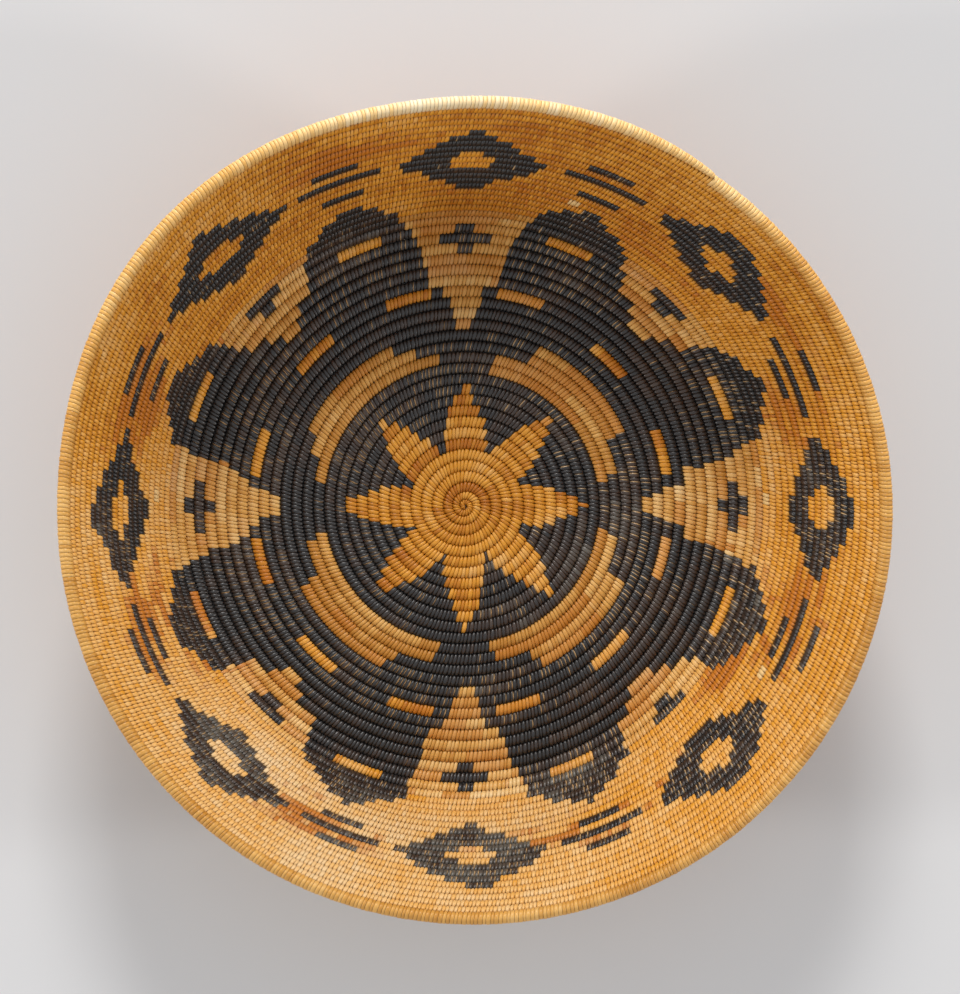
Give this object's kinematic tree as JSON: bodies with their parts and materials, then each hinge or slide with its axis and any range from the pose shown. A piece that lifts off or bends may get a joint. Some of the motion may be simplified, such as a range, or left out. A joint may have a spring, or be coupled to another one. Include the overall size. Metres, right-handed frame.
{
  "type": "coiled basket bowl",
  "caption": "Round shallow coiled basket bowl with a flat floor, a steep flaring wall, a plain wrapped rim and stepped geometric colour fields.",
  "frame": {"origin": "middle of the flat underside that the bowl rests on, under the knot where the coil starts", "axes": "+Z up out of the bowl's mouth; +X along the longer width of the slightly oval rim, to the right in the picture; +Y up in the picture"},
  "size_m": [0.4047, 0.3988, 0.0987],
  "materials": {
    "golden_strand": "satin",
    "pale_golden_strand": "satin",
    "dark_strand": "satin",
    "grass_bundle": "matte"
  },
  "bodies": {
    "root": {"foundation_coil": "grass_bundle", "start_knot": "golden_strand", "centre_rosette": "golden_strand", "dark_field": "dark_strand", "golden_arc_1": "pale_golden_strand", "golden_arc_2": "pale_golden_strand", "golden_arc_3": "pale_golden_strand", "golden_arc_4": "pale_golden_strand", "golden_step_1": "pale_golden_strand", "golden_step_2": "pale_golden_strand", "golden_step_3": "pale_golden_strand", "golden_step_4": "pale_golden_strand", "golden_tooth_1": "pale_golden_strand", "golden_tooth_2": "pale_golden_strand", "golden_tooth_3": "pale_golden_strand", "golden_tooth_4": "pale_golden_strand", "dark_peak_1": "dark_strand", "dark_peak_2": "dark_strand", "dark_peak_3": "dark_strand", "dark_peak_4": "dark_strand", "dark_peak_5": "dark_strand", "dark_peak_6": "dark_strand", "dark_peak_7": "dark_strand", "dark_peak_8": "dark_strand", "golden_panel_1": "golden_strand", "golden_panel_2": "golden_strand", "golden_panel_3": "golden_strand", "golden_panel_4": "golden_strand", "golden_panel_5": "golden_strand", "golden_panel_6": "golden_strand", "golden_panel_7": "golden_strand", "golden_panel_8": "golden_strand", "upper_border": "golden_strand", "dark_diamond_1": "dark_strand", "dark_diamond_2": "dark_strand", "dark_diamond_3": "dark_strand", "dark_diamond_4": "dark_strand", "dark_diamond_5": "dark_strand", "dark_diamond_6": "dark_strand", "dark_diamond_7": "dark_strand", "dark_diamond_8": "dark_strand", "diamond_eye_1": "golden_strand", "diamond_eye_2": "golden_strand", "diamond_eye_3": "golden_strand", "diamond_eye_4": "golden_strand", "diamond_eye_5": "golden_strand", "diamond_eye_6": "golden_strand", "diamond_eye_7": "golden_strand", "diamond_eye_8": "golden_strand", "rim_foundation": "grass_bundle", "rim_wrapping": "pale_golden_strand", "coil_end": "pale_golden_strand"}
  },
  "joints": []
}
